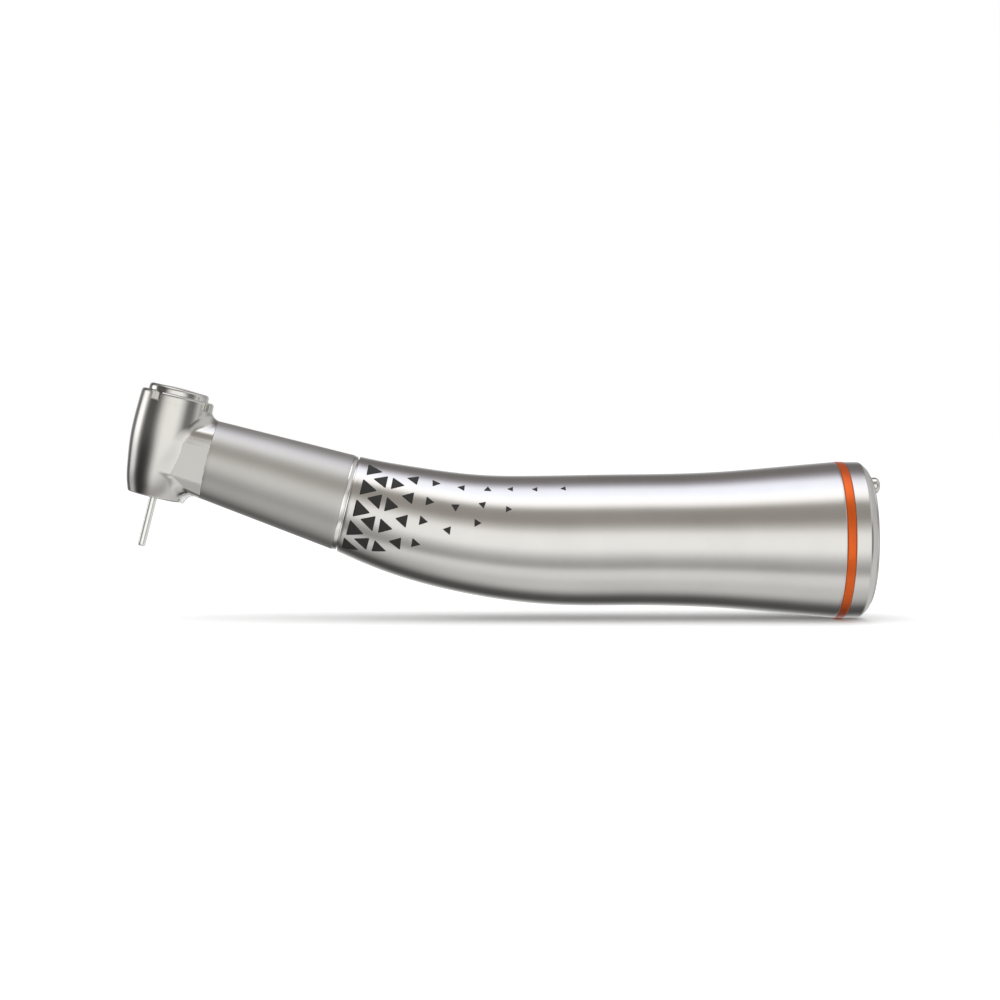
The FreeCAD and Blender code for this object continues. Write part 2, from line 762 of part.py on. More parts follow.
def make_drive_circlip():
    """The ring that holds the rear drive bearing."""
    body = ring(2.75, DRIVE[1], DRIVE_REAR_AT + DRIVE[2], DRIVE_REAR_AT + DRIVE[2] + 0.4, REAR)
    gap = placed(Part.makeBox(2.0, 1.4, 2.0, V(2.4, -0.7, -35.5)), REAR)
    return body.cut(gap)


def make_coupling_sleeve(pin, lines, screws):
    """The sleeve that slides onto the motor's nose, with its latch groove and rear lip."""
    profile = [
        (-BORE_DEPTH - FLOOR, 2.6),
        (-BORE_DEPTH, 2.6),
        (-BORE_DEPTH, BORE_R),
        (-13.2, BORE_R),
        (-13.0, LATCH_R),
        (-12.2, LATCH_R),
        (-12.0, BORE_R),
        (0.0, BORE_R),
        (0.0, SPIGOT_R - 0.15),
        (-0.15, SPIGOT_R),
        (SPIGOT_FRONT, SPIGOT_R),
        (SPIGOT_FRONT - 1.5, SLEEVE_OUT),
        (-BORE_DEPTH - FLOOR, SLEEVE_OUT),
    ]
    return turned(profile, REAR).cut([pin] + lines + screws)


def make_locating_pin():
    """The pin that keys the handpiece to the motor."""
    profile = [
        (-5.0, 0.0),
        (-5.0, PIN_R),
        (PIN_OUT - 0.45, PIN_R),
        (PIN_OUT - 0.15, 0.82),
        (PIN_OUT, 0.5),
        (PIN_OUT, 0.0),
    ]
    at = FreeCAD.Placement(V(0, 0, PIN_Z), REAR.Rotation)
    return turned(profile, at)


def sleeve_screw_solids():
    """Three small screws through the drive housing's flange into the sleeve's floor."""
    head = rod(0.55, -34.7, -34.2, REAR, x=5.4)
    shank = rod(0.35, -34.2, -32.0, REAR, x=5.4)
    slot = placed(Part.makeBox(1.4, 0.2, 0.25, V(4.7, -0.1, -34.75)), REAR)
    screw = head.fuse(shank).cut(slot)
    return spun(screw, REAR, 3)


# ================================================================ light and spray lines
def make_light_guide():
    """The light rod, from the sleeve's floor to the lens."""
    points = [
        V(-32.4, 5.75, 1.0),
        V(-51.5, 5.75, 1.0),
        front_point(22.0, 0.6, -5.2),
        front_point(8.0, 0.0, -4.25),
        front_point(4.9, 0.0, -4.25),
    ]
    return line_rod(points, GUIDE_R, LINE_BEND)


def make_water_tube():
    """The spray water tube."""
    points = [
        V(-32.4, -5.68, 0.6),
        V(-51.5, -5.68, 0.6),
        front_point(22.0, -1.2, -4.9),
        front_point(8.0, -1.45, -4.0),
        front_point(5.2, -1.45, -4.0),
    ]
    return line_rod(points, TUBE_R, LINE_BEND)


def make_air_tube():
    """The spray air tube."""
    points = [
        V(-32.4, -5.45, 2.4),
        V(-51.5, -5.45, 2.4),
        front_point(22.0, -2.8, -4.0),
        front_point(8.0, -2.55, -3.3),
        front_point(5.2, -2.55, -3.3),
    ]
    return line_rod(points, TUBE_R, LINE_BEND)


# ================================================================ assembly
def save_head(lens, lines):
    """Save the head's own pieces."""
    save(make_head_housing(lens, lines), "head_housing")
    save(lens, "light_lens")
    save(make_spray_ring(), "spray_ring")
    save(make_head_cap_ring(), "head_cap_ring")
    save(make_push_button(), "push_button")
    save(make_spring_plate(), "spring_plate")
    save(make_preload_washer(), "preload_washer")
    save(make_coil(2.2, SPRING_WIRE, 12.05, 12.75, 2.5), "button_spring")
    save(make_chuck_spindle(), "chuck_spindle")
    save(make_collet_chuck(), "collet_chuck")
    save(make_release_plunger(), "release_plunger")
    save(make_coil(0.9, SPRING_WIRE, 9.6, 10.9, 4.0), "plunger_spring")
    save(make_bur(), "bur")


def save_neck(lines):
    """Save the neck's and middle shaft's pieces."""
    save(make_neck_sleeve(), "neck_sleeve")
    save(make_seam_ring(lines), "seam_ring")
    save(make_middle_housing(), "middle_housing")
    save(torus(STUB_BORE - 0.1, SEAL_WIRE, 5.0, MIDDLE), "neck_o_ring")
    save(make_crown_gear(), "crown_gear")
    save(make_middle_shaft(), "middle_shaft")
    spacer = ring(MID_SHAFT_R, 1.5, MID_REAR_AT + MID[2], MID_REAR_AT + MID[2] + 0.4, MIDDLE)
    save(spacer, "mid_spacer")


def save_rear(lines):
    """Save the handle's, drive's and coupling's pieces."""
    pin = make_locating_pin()
    screws = sleeve_screw_solids()
    save(make_handle_shell(), "handle_shell")
    save(make_colour_ring(), "colour_ring")
    save(make_rear_ring(), "rear_ring")
    save(pin, "locating_pin")
    save(make_coupling_sleeve(pin, lines, screws), "coupling_sleeve")
    save(make_knee_housing(), "knee_housing")
    save(make_bell_gear(), "bell_gear")
    save(make_drive_shaft(), "drive_shaft")
    save(make_drive_housing().cut(lines + screws), "drive_housing")
    save(make_clutch_driver(), "clutch_driver")
    save(make_drive_circlip(), "drive_circlip")
    save(Part.makeCompound(screws), "sleeve_screws")


def main():
    """Build and save every node."""
    os.makedirs("parts", exist_ok=True)
    guide = make_light_guide()
    water = make_water_tube()
    air = make_air_tube()
    lines = [guide, water, air]
    save(guide, "light_guide")
    save(water, "spray_water_tube")
    save(air, "spray_air_tube")
    save_head(make_light_lens(), lines)
    save_neck(lines)
    save_rear(lines)
    make_bearing(UPPER, UPPER_AT, HEAD, "upper")
    make_bearing(LOWER, LOWER_AT, HEAD, "lower")
    make_bearing(MID, MID_FRONT_AT, MIDDLE, "mid_front")
    make_bearing(MID, MID_REAR_AT, MIDDLE, "mid_rear")
    make_bearing(DRIVE, DRIVE_FRONT_AT, REAR, "drive_front")
    make_bearing(DRIVE, DRIVE_REAR_AT, REAR, "drive_rear")


main()
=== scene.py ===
"""Dental contra-angle handpiece around its CAD frame: shells, details, materials, light, camera.

Lengths are in millimetres until a mesh is made. Three local frames are used. REAR runs along the
coupling bore, MIDDLE along the neck and HEAD up the head, with its origin in the bottom face.
"""

import json
import math

import bmesh
import bpy
import numpy as np
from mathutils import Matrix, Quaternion, Vector


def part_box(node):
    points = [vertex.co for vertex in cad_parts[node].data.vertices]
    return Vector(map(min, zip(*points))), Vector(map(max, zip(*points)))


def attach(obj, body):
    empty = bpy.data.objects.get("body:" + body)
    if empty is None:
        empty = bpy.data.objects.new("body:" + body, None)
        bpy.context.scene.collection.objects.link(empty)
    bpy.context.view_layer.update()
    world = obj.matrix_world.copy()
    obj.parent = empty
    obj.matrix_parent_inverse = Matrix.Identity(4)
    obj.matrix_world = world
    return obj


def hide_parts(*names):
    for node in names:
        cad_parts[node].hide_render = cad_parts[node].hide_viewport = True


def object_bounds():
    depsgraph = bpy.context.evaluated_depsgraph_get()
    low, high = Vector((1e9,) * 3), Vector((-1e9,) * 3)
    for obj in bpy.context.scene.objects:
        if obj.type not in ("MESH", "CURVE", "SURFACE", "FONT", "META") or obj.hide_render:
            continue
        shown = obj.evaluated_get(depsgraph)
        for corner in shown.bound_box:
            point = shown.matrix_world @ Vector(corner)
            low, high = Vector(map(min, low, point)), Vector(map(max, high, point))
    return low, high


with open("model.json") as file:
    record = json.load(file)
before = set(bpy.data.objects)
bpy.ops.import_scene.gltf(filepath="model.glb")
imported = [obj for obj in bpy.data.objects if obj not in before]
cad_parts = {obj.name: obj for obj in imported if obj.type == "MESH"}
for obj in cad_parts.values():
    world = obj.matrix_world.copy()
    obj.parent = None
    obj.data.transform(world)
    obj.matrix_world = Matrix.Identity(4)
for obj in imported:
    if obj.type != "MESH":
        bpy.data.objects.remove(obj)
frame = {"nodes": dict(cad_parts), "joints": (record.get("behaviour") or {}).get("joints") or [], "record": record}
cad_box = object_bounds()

MM = 0.001
TINY = 2e-6             # metres; a shorter edge is dissolved

# ---------------------------------------------------------------- frames from the record
JOINTS = {j["name"]: j for j in frame["joints"]}
CROSSING = np.array(JOINTS["spindle_spin"]["pos_m"]) / MM
AXIS_W = np.array(JOINTS["spindle_spin"]["axis"])
AXIS_U = np.array(JOINTS["middle_spin"]["axis"])
AXIS_X = np.array((1.0, 0.0, 0.0))
AXIS_Y = np.array((0.0, 1.0, 0.0))
AXIS_Z = np.array((0.0, 0.0, 1.0))
HEAD_CENTRE = 6.4       # height of the crossing above the head's bottom face
HEAD_BASE = CROSSING - AXIS_W * HEAD_CENTRE
TILT = math.atan2(AXIS_W[0], AXIS_W[2])

# ---------------------------------------------------------------- sizes repeated from the CAD
HANDLE_SECTIONS = (
    # x, outer radius, how far the centre hangs below the bend's arc
    (-4.1, 9.55, 0.0), (-8.1, 9.2, 0.0), (-13.0, 8.75, 0.0), (-17.9, 8.35, 0.0),
    (-22.7, 8.12, 0.0), (-27.6, 8.02, 0.0), (-32.5, 8.0, 0.04), (-37.4, 7.92, 0.08),
    (-42.3, 7.7, 0.16), (-47.1, 7.37, 0.23), (-52.0, 7.05, 0.22), (-56.9, 6.68, 0.13),
    (-60.2, 6.32, 0.04),
)
STRAIGHT_END = -35.0    # the handle's centreline is straight behind this x
BEND_RADIUS = 97.5
SHELL_WALL = 0.7
HANDLE_REAR = -4.1
SEAT_FRONT = -9.3
SPIGOT_R = 8.4
REAR_RING_FRONT = -3.0
REAR_RING_END = -0.3
REAR_R = 9.55
SEAM_U = 23.15          # front edge of the handle, along the neck
SLEEVE_END = 22.45
SLEEVE_WALL = 0.5
NECK_TOP = 4.38         # height of the neck's straight top line above its axis
NECK_R0 = 4.83
NECK_GROWTH = 0.0625    # radius gained per mm along the neck
NECK_START = 5.6

DRUM_PROFILE = (
    (0.12, 3.22), (0.9, 3.5), (3.6, 4.08), (6.5, 4.45), (9.3, 4.53), (11.45, 4.47),
)
DRUM_TOP = 11.45
RIM_R = 4.47            # radius of the edge where drum and cap meet
FLANGE_TOP = 12.6
FLANGE_R = 4.42
CAP_R = 3.65
CAP_TOP = 13.43
CAP_OPENING = 2.75
CAP_CEILING = 12.9
CAP_FOOT = 10.97        # lower end of the cap's thread
CAP_THREAD_R = 3.74
NOTCHES = 4
NOTCH_TURN = 60.0
NOTCH_WIDTH = 1.3
NOTCH_FLOOR = DRUM_TOP + 0.1
STUB_START = 0.6
STUB_FLAT = 4.0         # half width between the stub's flats, at the crossing's height
HEAD_BORES = (
    # radius, from, to, up the head; the first and the last run on past the faces they open in,
    # and the upper bearing's seat is rounded up by 0.005
    (2.75, -0.5, 0.6), (1.75, 0.0, 0.95), (2.85, 0.95, 2.65), (2.6, 0.95, 10.05),
    (3.18, 10.05, 10.95), (3.75, 10.95, 12.0),
)
CROSS_BORES = (
    # radius, from, to, along the neck; the last runs on past the stub's end
    (3.62, 1.2, 4.15), (3.65, 4.15, 6.6),
)
BUR_NECK_R = 0.47
SHANK_R = 0.8


# ================================================================ numbers
def natural_spline(points, at):
    """Values of the natural cubic spline through (x, y) points."""
    x, y = np.array(sorted(points)).T
    gap = np.diff(x)
    slope = np.diff(y) / gap
    n = len(x)
    left = np.eye(n)
    right = np.zeros(n)
    for i in range(1, n - 1):
        left[i, i - 1 : i + 2] = gap[i - 1], 2 * (gap[i - 1] + gap[i]), gap[i]
        right[i] = 6 * (slope[i] - slope[i - 1])
    bend = np.linalg.solve(left, right)
    at = np.asarray(at, float)
    i = np.clip(np.searchsorted(x, at) - 1, 0, n - 2)
    a, b = x[i + 1] - at, at - x[i]
    cubic = (bend[i] * a**3 + bend[i + 1] * b**3) / (6 * gap[i])
    line = (y[i] / gap[i] - bend[i] * gap[i] / 6) * a
    return cubic + line + (y[i + 1] / gap[i] - bend[i + 1] * gap[i] / 6) * b


def neck_radius(u):
    """Outer radius of the neck at a distance along it."""
    return NECK_R0 + NECK_GROWTH * (u - NECK_START)


def handle_stations():
    """(x, height of the centre, tilt, radius) of each section of the handle."""
    end_r = neck_radius(SEAM_U)
    end = CROSSING + AXIS_U * SEAM_U + AXIS_W * (NECK_TOP - end_r)
    rows = []
    for x, radius, drop in HANDLE_SECTIONS:
        into = max(0.0, STRAIGHT_END - x)
        rise = BEND_RADIUS - math.sqrt(BEND_RADIUS**2 - into**2) - drop
        rows.append((x, rise, TILT * min(1.0, into / (STRAIGHT_END - end[0])), radius))
    rows.append((end[0], end[2], TILT, end_r))
    return rows


STATIONS = handle_stations()
HANDLE_FRONT = STATIONS[-1][0]


def handle_section(x):
    """Centre, up direction and outer radius of the handle at x."""
    height, tilt, radius = (
        float(natural_spline([(s[0], s[k]) for s in STATIONS], x)) for k in (1, 2, 3)
    )
    if x >= STRAIGHT_END:
        tilt = 0.0
    up = np.array((math.sin(tilt), 0.0, math.cos(tilt)))
    return np.array((x, 0.0, height)), up, radius


# ================================================================ meshes
NO_CORNER = 0.97        # cosine of a turn too slight to be rounded
CUT_SHARE = 0.45        # a rounded corner takes at most this share of either side


def circle(centre, up, side, radius, count):
    """Points round a circle, in millimetres."""
    a = np.linspace(0, 2 * math.pi, count, endpoint=False)[:, None]
    return centre + radius * (np.cos(a) * up + np.sin(a) * side)


def rounded(outline, radius, steps=4):
    """A closed (along, out) outline with each real corner replaced by a small curve."""
    points = [np.array(p, float) for p in outline]
    out = []
    for i, here in enumerate(points):
        back, on = points[i - 1] - here, points[(i + 1) % len(points)] - here
        long_back, long_on = np.linalg.norm(back), np.linalg.norm(on)
        straight = -float(back @ on) / (long_back * long_on)
        if here[1] == 0 or straight > NO_CORNER:
            out.append(tuple(here))
            continue
        cut = min(radius, CUT_SHARE * long_back, CUT_SHARE * long_on)
        start, end = here + back / long_back * cut, here + on / long_on * cut
        for t in np.linspace(0, 1, steps + 1):
            out.append(tuple((1 - t) ** 2 * start + 2 * t * (1 - t) * here + t**2 * end))
    return out


def mesh_object(name, verts, faces, sharp=40.0):
    """A smooth-shaded object from points in millimetres."""
    mesh = bpy.data.meshes.new(name)
    mesh.from_pydata([tuple(v) for v in np.asarray(verts) * MM], [], faces)
    mesh.validate()
    mesh.polygons.foreach_set("use_smooth", [True] * len(mesh.polygons))
    mesh.set_sharp_from_angle(angle=math.radians(sharp))
    obj = bpy.data.objects.new(name, mesh)
    bpy.context.scene.collection.objects.link(obj)
    weighted = obj.modifiers.new("even_normals", "WEIGHTED_NORMAL")
    weighted.keep_sharp = True
    return obj


def reworked(obj, change):
    """The object with one bmesh operation done on its mesh."""
    work = bmesh.new()
    work.from_mesh(obj.data)
    change(work)
    work.to_mesh(obj.data)
    work.free()
    return obj


def recalculated(obj):
    """Turn every face outwards."""
    return reworked(obj, lambda work: bmesh.ops.recalc_face_normals(work, faces=work.faces))


def cleaned(obj):
    """Drop faces with no area."""
    return reworked(
        obj, lambda work: bmesh.ops.dissolve_degenerate(work, dist=TINY, edges=work.edges)
    )


def skinned(name, outline, ring_at, count, sharp=40.0):
    """A closed body whose rings follow an outline; ring_at(along, out) gives a ring's points."""
    verts, starts = [], []
    for along, out in outline:
        points = ring_at(along, out)
        starts.append((len(verts), len(points)))
        verts.extend(points)
    faces = []
    for (a, size_a), (b, size_b) in zip(starts, starts[1:] + starts[:1]):
        for i in range(count):
            j = (i + 1) % count
            corners = [a + i % size_a, a + j % size_a, b + j % size_b, b + i % size_b]
            face = list(dict.fromkeys(corners))
            if len(face) > 2:
                faces.append(face)
    return recalculated(mesh_object(name, verts, faces, sharp))


def turned(name, outline, origin, axis, up, count=96, soft=0.05):
    """A body of revolution about an axis, with softened edges."""
    side = np.cross(axis, up)

    def ring_at(along, out):
        centre = origin + axis * along
        return [centre] if out == 0 else circle(centre, up, side, out, count)

    return skinned(name, rounded(outline, soft), ring_at, count)


def neck_body(name, outline, count=160, soft=0.05):
    """A body whose rings follow the neck; an outline point is (u, depth below the surface)."""

    def ring_at(u, depth):
        radius = neck_radius(u)
        centre = CROSSING + AXIS_U * u + AXIS_W * (NECK_TOP - radius)
        return circle(centre, AXIS_W, AXIS_Y, radius - depth, count)

    return skinned(name, rounded(outline, soft), ring_at, count)


# ================================================================ solid fields
def smooth_max(a, b, k):
    """The larger of two fields, with a rounded corner."""
    h = np.maximum(k - np.abs(a - b), 0) / k
    return np.maximum(a, b) + h * h * k / 4


def filleted(a, b, radius):
    """The union of two fields with a round fillet between them."""
    near = np.hypot(np.maximum(radius - a, 0), np.maximum(radius - b, 0))
    return np.maximum(radius, np.minimum(a, b)) - near


def tube_field(across, along, radius, a0, a1):
    """Signed distance to a cylinder, from the distances across and along its axis."""
    return np.maximum(across - radius, np.abs(along - (a0 + a1) / 2) - (a1 - a0) / 2)


def polygon_field(px, py, corners):
    """Signed distance to a closed polygon."""
    best = np.full(px.shape, 1e9)
    inside = np.zeros(px.shape, bool)
    for (ax, ay), (bx, by) in zip(corners, corners[1:] + corners[:1]):
        ex, ey = bx - ax, by - ay
        t = np.clip(((px - ax) * ex + (py - ay) * ey) / (ex * ex + ey * ey), 0, 1)
        best = np.minimum(best, np.hypot(px - ax - t * ex, py - ay - t * ey))
        if ey:
            over = (ay > py) != (by > py)
            inside ^= over & (px < ax + (py - ay) / ey * ex)
    return np.where(inside, -best, best)


def crossings_along(value, axis):
    """The grid edges along an axis that cross zero: their starts and how far along they cross."""
    a = np.moveaxis(value, axis, 0)
    cross = (a[:-1] < 0) != (a[1:] < 0)
    share = np.where(cross, a[:-1] / np.where(cross, a[:-1] - a[1:], 1), 0)
    cross, share = np.moveaxis(cross, 0, axis), np.moveaxis(share, 0, axis)
    return np.argwhere(cross), share[cross]


def cells_round(where, axis, corners):
    """The four cells round each grid edge along an axis, in the order of the corners."""
    across = [k for k in range(3) if k != axis]
    out = []
    for corner in corners:
        cell = where.copy()
        cell[:, across] -= corner
        out.append(cell)
    return out


def net_points(edges, cells):
    """A point in each crossed cell, at the mean of its crossings, and the points' numbers."""
    total, hits = np.zeros((*cells, 3)), np.zeros(cells)
    for axis, (where, share) in enumerate(edges):
        points = where.astype(float)
        points[:, axis] += share
        for cell in cells_round(where, axis, ((0, 0), (0, 1), (1, 0), (1, 1))):
            kept = np.all((cell >= 0) & (cell < cells), axis=1)
            index = tuple(cell[kept].T)
            np.add.at(total, index, points[kept])
            np.add.at(hits, index, 1)
    used = hits > 0
    number = np.full(cells, -1)
    number[used] = np.arange(used.sum())
    return total[used] / hits[used][:, None], number


def net_quads(axis, where, value, number):
    """A quad round each crossed grid edge along an axis, facing out of the body."""
    across = [k for k in range(3) if k != axis]
    place = where[:, across]
    inner = np.all((place > 0) & (place < np.array(number.shape)[across]), axis=1)
    where = where[inner]
    flip = (value[tuple(where.T)] < 0) ^ (axis == 1)
    cells = cells_round(where, axis, ((1, 1), (0, 1), (0, 0), (1, 0)))
    quad = np.stack([number[tuple(cell.T)] for cell in cells], 1)
    quad[~flip] = quad[~flip][:, ::-1]
    return quad


def surface_net(field, low, high, step):
    """Points and quads on a field's zero surface, moved onto it exactly."""
    low = np.array(low, float)
    size = np.ceil((np.array(high) - low) / step).astype(int) + 1
    axes = [low[k] + step * np.arange(size[k]) for k in range(3)]
    value = field(np.stack(np.meshgrid(*axes, indexing="ij"), -1))
    edges = [crossings_along(value, axis) for axis in range(3)]
    points, number = net_points(edges, size - 1)
    faces = [net_quads(axis, edges[axis][0], value, number) for axis in range(3)]
    return settled(field, low + step * points, step), np.concatenate(faces)


def settled(field, verts, step):
    """Move points onto the field's zero surface along its gradient."""
    small = step * 0.2
    for _ in range(4):
        slope = np.stack(
            [field(verts + small * e) - field(verts - small * e) for e in np.eye(3)], -1
        ) / (2 * small)
        steep = np.maximum((slope**2).sum(-1), 0.25)
        move = slope * (field(verts) / steep)[:, None]
        verts = verts - np.clip(move, -step / 2, step / 2)
    return verts


def edged(local, radius, height, reach):
    """Points near a turned edge of the head, moved onto it."""
    r = np.hypot(local[:, 0], local[:, 1])
    near = (np.abs(r - radius) < reach) & (np.abs(local[:, 2] - height) < reach)
    local[near, :2] *= (radius / r[near])[:, None]
    local[near, 2] = height
    return local


def grown(name, field, low, high, step, edge, sharp=60.0):
    """An object from a field in the head's frame, with one crisp turned edge."""
    local, faces = surface_net(field, low, high, step)
    local = edged(local, *edge, step * 0.55)
    verts = HEAD_BASE + local[:, :1] * AXIS_U + local[:, 1:2] * AXIS_Y + local[:, 2:] * AXIS_W
    return cleaned(mesh_object(name, verts, faces.tolist(), sharp))


# ================================================================ head
CASTING_BOX = (-4.9, -4.95, -0.3), (5.9, 4.95, 11.8)
CASTING_STEP = 0.085
CAP_BOX = (-4.7, -4.7, 10.8), (4.7, 4.7, 13.7)
CAP_STEP = 0.06
FLAT_DRAFT = 0.06       # how far each flat leans out per mm up
FLAT_FACING = 0.985     # a face of the flats faces the side at least this squarely
FLAT_START = 1.2        # and lies further than this along the neck
FACET_ACROSS, FACET_DOWN = 0.743, 0.669  # the way the lower facets face
FACET_OUT = 4.86        # distance of the lower facets from the neck's centreline
# the fillet between drum and stub: heights and its radius there, distances from the middle
# plane and the share of that radius
FILLET_RADIUS = (0.0, 2.5, 5.0, 8.0, 9.6, 11.4), (1.1, 1.1, 1.0, 1.2, 1.5, 1.0)
FILLET_SHARE = (0.0, 2.2, 3.0, 3.6), (1.0, 1.0, 0.7, 0.3)
WALL_LEAN = 0.985       # cosine of the drum wall's lean
RIM_CUT = 0.22          # how far the cap's chamfers cut back
FLANGE_CUT = 0.16
FAR = 9.0               # more than any distance inside the cap
# the light window's outline (along the neck's direction, up the head): the CAD's, with a
# concave front
LENS = [
    (3.28, 0.05), (3.62, 0.0), (3.75, 0.35), (3.95, 0.72), (4.28, 1.02), (4.9, 1.25),
    (4.9, 2.35), (3.95, 2.35), (3.45, 1.6), (3.28, 0.9),
]
LENS_HALF = 1.0
BELOW_HEAD = -0.5
DRUM_TABLE = np.linspace(BELOW_HEAD, DRUM_TOP, 400)
DRUM_RADII = natural_spline(DRUM_PROFILE, DRUM_TABLE)


def stub_field(x, y, h):
    """The neck stub: a circle in line with the sleeve, with drafted flats and lower facets."""
    w = h - HEAD_CENTRE
    radius = neck_radius(x)
    rise = w - NECK_TOP + radius
    power = 2.0 + 0.5 * np.clip(-rise, 0, 1)
    round_part = (np.abs(y) ** power + np.abs(rise) ** power) ** (1 / power) - radius
    flats = np.abs(y) - (STUB_FLAT + FLAT_DRAFT * w)
    body = smooth_max(round_part, flats, np.interp(rise, (0.0, 1.5), (0.1, 0.8)))
    facet = FACET_ACROSS * np.abs(y) - FACET_DOWN * rise - FACET_OUT
    body = smooth_max(body, facet, 0.06)
    return smooth_max(body, np.maximum(x - NECK_START, STUB_START - x), 0.03)


def bores_field(x, y, h):
    """Everything bored out of the head casting."""
    fields = [tube_field(np.hypot(x, y), h, *size) for size in HEAD_BORES]
    fields += [tube_field(np.hypot(y, h - HEAD_CENTRE), x, *size) for size in CROSS_BORES]
    return np.minimum.reduce(fields)


def casting_field(p):
    """The head: drum and stub joined by a fillet, then bored."""
    x, y, h = p[..., 0], p[..., 1], p[..., 2]
    side = (np.hypot(x, y) - np.interp(h, DRUM_TABLE, DRUM_RADII)) * WALL_LEAN
    drum = np.maximum(side, h - DRUM_TOP)
    blend = np.interp(h, *FILLET_RADIUS) * np.interp(np.abs(y), *FILLET_SHARE)
    body = filleted(drum, stub_field(x, y, h), blend)
    body = smooth_max(body, -h, 0.16)
    body = np.maximum(body, h - DRUM_TOP)
    body = smooth_max(body, -bores_field(x, y, h), 0.06)
    pocket = np.maximum(polygon_field(x, h, LENS), np.abs(y) - LENS_HALF)
    return smooth_max(body, -pocket, 0.05)


def make_casting():
    """The head housing, with its own finish on the flats."""
    edge = (RIM_R, DRUM_TOP)
    casting = grown("head_casting", casting_field, *CASTING_BOX, CASTING_STEP, edge)
    casting.data.materials.append(MATERIALS["satin_head"])
    casting.data.materials.append(FLAT_STEEL)
    for face in casting.data.polygons:
        ahead = (np.array(face.center) / MM - CROSSING) @ AXIS_U
        face.material_index = int(abs(face.normal.y) > FLAT_FACING and ahead > FLAT_START)
    return casting


def cap_field(p):
    """The screwed cap with its four spanner notches."""
    x, y, h = p[..., 0], p[..., 1], p[..., 2]
    r = np.hypot(x, y)
    profile = [
        (3.2, CAP_FOOT), (3.2, CAP_CEILING), (CAP_OPENING, CAP_CEILING), (CAP_OPENING, CAP_TOP),
        (CAP_R, CAP_TOP), (CAP_R, FLANGE_TOP), (FLANGE_R, FLANGE_TOP),
        (RIM_R, DRUM_TOP), (CAP_THREAD_R, DRUM_TOP), (CAP_THREAD_R, CAP_FOOT),
    ]
    body = polygon_field(r, h, profile)
    for k in range(NOTCHES):
        a = math.radians(NOTCH_TURN + 360 * k / NOTCHES)
        out = x * math.cos(a) + y * math.sin(a)
        across = np.abs(y * math.cos(a) - x * math.sin(a)) - NOTCH_WIDTH / 2
        notch = np.maximum(np.maximum(CAP_R - out, across), NOTCH_FLOOR - h)
        body = smooth_max(body, -notch, 0.09)
    rim = (r + h - CAP_R - CAP_TOP + RIM_CUT) / math.sqrt(2)
    flange = (r + h - FLANGE_R - FLANGE_TOP + FLANGE_CUT) / math.sqrt(2)
    flange -= FAR * (r < CAP_R + 0.04)
    return smooth_max(smooth_max(body, rim, 0.15), flange, 0.05)


def make_cap():
    """The cap ring, polished on top and satin round the flange, like the drum below it."""
    cap = grown("cap_ring", cap_field, *CAP_BOX, CAP_STEP, (RIM_R, DRUM_TOP))
    cap.data.materials.append(MATERIALS["polished_steel"])
    cap.data.materials.append(MATERIALS["satin_head"])
    for face in cap.data.polygons:
        arm = np.array(face.center) / MM - HEAD_BASE
        radius = np.linalg.norm(arm - AXIS_W * (arm @ AXIS_W))
        face.material_index = int(radius > CAP_R + 0.1)
    return cap


def make_button():
    """The domed push button."""
    outline = [
        (12.15, 0.0), (12.15, 0.85), (12.75, 0.85), (12.75, 3.1), (12.88, 3.1),
        (12.88, 2.68), (13.3, 2.68), (13.38, 2.6), (13.46, 2.1), (13.51, 1.4),
        (13.54, 0.7), (13.55, 0.0),
    ]
    return turned("button_dome", outline, HEAD_BASE, AXIS_W, AXIS_U, soft=0.08)


def make_lens():
    """The clear light outlet, in line with the fillet under the neck."""
    verts, faces = [], []
    outline = rounded(LENS, 0.06)
    rows = (-LENS_HALF, -LENS_HALF + 0.05, LENS_HALF - 0.05, LENS_HALF)
    middle = np.mean(outline, axis=0)
    for row, y in enumerate(rows):
        shrink = 0.96 if row in (0, 3) else 1.0
        for point in outline:
            x, h = middle + (np.array(point) - middle) * shrink
            verts.append(HEAD_BASE + AXIS_U * x + AXIS_Y * y + AXIS_W * h)
    n = len(outline)
    for row in range(3):
        for i in range(n):
            j = (i + 1) % n
            faces.append([row * n + i, row * n + j, (row + 1) * n + j, (row + 1) * n + i])
    faces.append(list(range(n)))
    faces.append(list(range(3 * n, 4 * n)))
    return recalculated(mesh_object("light_window", verts, faces))


def make_bur():
    """A plain thin bur with its shank in the chuck."""
    outline = [
        (-6.2, 0.0), (-6.2, 0.3), (-6.1, 0.42), (-5.95, BUR_NECK_R), (0.1, BUR_NECK_R),
        (0.6, SHANK_R), (8.65, SHANK_R), (8.8, 0.68), (8.8, 0.0),
    ]
    return turned("plain_bur", outline, HEAD_BASE, AXIS_W, AXIS_U, count=48, soft=0.06)


# ================================================================ neck, seam and handle
END_WALL = 0.2
END_WALL_DEPTH = 1.05


def make_neck():
    """The sleeve between head and seam, closed beside the flats by an end wall."""
    steps = np.linspace(NECK_START, SLEEVE_END, 34)
    outline = [(u, 0.0001) for u in steps] + [(u, SLEEVE_WALL) for u in steps[:2:-3]]
    wall = NECK_START + END_WALL
    outline += [(wall, SLEEVE_WALL), (wall, END_WALL_DEPTH), (NECK_START, END_WALL_DEPTH)]
    return neck_body("neck_tube", outline, soft=0.02)


def make_seam():
    """The bright chamfered ring, with the groove behind it."""
    front, rear = SLEEVE_END - 1.5, SEAM_U + 2.5
    band, chamfer = SLEEVE_END + 0.15, SLEEVE_END + 0.55
    outline = [
        (front, 0.65), (SLEEVE_END, 0.65), (SLEEVE_END, 0.01), (band, 0.01), (chamfer, 0.12),
        (chamfer, 0.3), (SEAM_U, 0.3), (SEAM_U, 0.9), (rear, 1.1), (rear, 2.2), (front, 2.2),
    ]
    return neck_body("seam_band", outline, soft=0.035)


